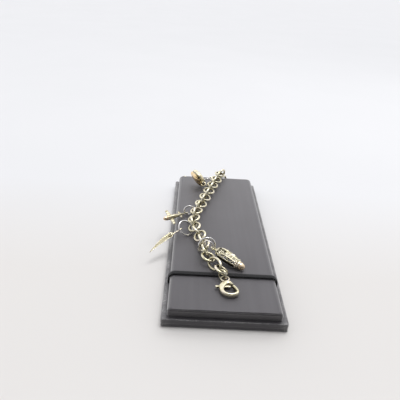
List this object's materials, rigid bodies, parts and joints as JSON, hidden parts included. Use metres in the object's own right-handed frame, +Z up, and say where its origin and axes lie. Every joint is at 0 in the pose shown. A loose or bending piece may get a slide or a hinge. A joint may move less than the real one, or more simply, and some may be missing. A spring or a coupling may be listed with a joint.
{
  "type": "charm anklet on display stand",
  "caption": "Chunky cable-chain anklet with a lobster clasp and charms on jump rings, laid over a padded display board with a retaining elastic.",
  "frame": {"origin": "centre of the display stand's underside", "axes": "+Z up from the surface the stand rests on; +Y along the stand, from the clasp end towards the far end that the chain hangs over; +X across it"},
  "size_m": [0.0807, 0.1854, 0.0255],
  "materials": {
    "leatherette": "fine-grained matt grey leatherette",
    "elastic": "matt black elastic",
    "pale_gold": "polished pale gold",
    "silver": "polished silver"
  },
  "bodies": {
    "anklet_on_stand": {"stand_base": "leatherette", "stand_pad": "leatherette", "elastic_band": "elastic", "clasp_body": "pale_gold", "clasp_ring": "pale_gold", "clasp_link": "pale_gold", "oval_link": "pale_gold", "chain_link_01": "pale_gold", "chain_link_02": "pale_gold", "chain_link_03": "pale_gold", "chain_link_04": "pale_gold", "chain_link_05": "pale_gold", "chain_link_06": "pale_gold", "chain_link_07": "pale_gold", "chain_link_08": "pale_gold", "chain_link_09": "pale_gold", "chain_link_10": "pale_gold", "chain_link_11": "pale_gold", "chain_link_12": "pale_gold", "chain_link_13": "pale_gold", "chain_link_14": "pale_gold", "chain_link_15": "pale_gold", "chain_link_16": "pale_gold", "chain_link_17": "pale_gold", "chain_link_18": "pale_gold", "chain_link_19": "pale_gold", "chain_link_20": "pale_gold", "chain_link_21": "pale_gold", "chain_link_22": "pale_gold", "chain_link_23": "pale_gold", "chain_link_24": "pale_gold", "chain_link_25": "pale_gold", "chain_link_26": "pale_gold", "chain_link_27": "pale_gold", "chain_link_28": "pale_gold", "chain_link_29": "pale_gold", "chain_link_30": "pale_gold", "end_ring": "pale_gold", "charm_filigree": "pale_gold", "charm_leaf": "pale_gold", "charm_plane": "pale_gold", "charm_locket": "pale_gold", "ring_filigree": "silver", "ring_small": "silver", "ring_leaf": "silver", "ring_plane": "silver", "ring_locket": "silver"},
    "clasp_lever_body": {"clasp_lever": "pale_gold"}
  },
  "joints": [
    {"name": "clasp_lever_hinge", "type": "hinge", "parent": "anklet_on_stand", "child": "clasp_lever_body", "pos_m": [-0.00091, -0.06735, 0.01295], "axis": [0, 0, -1], "range_deg": [0, 30], "stiffness_Nm_per_rad": 0.01, "springref_deg": -5.73}
  ]
}
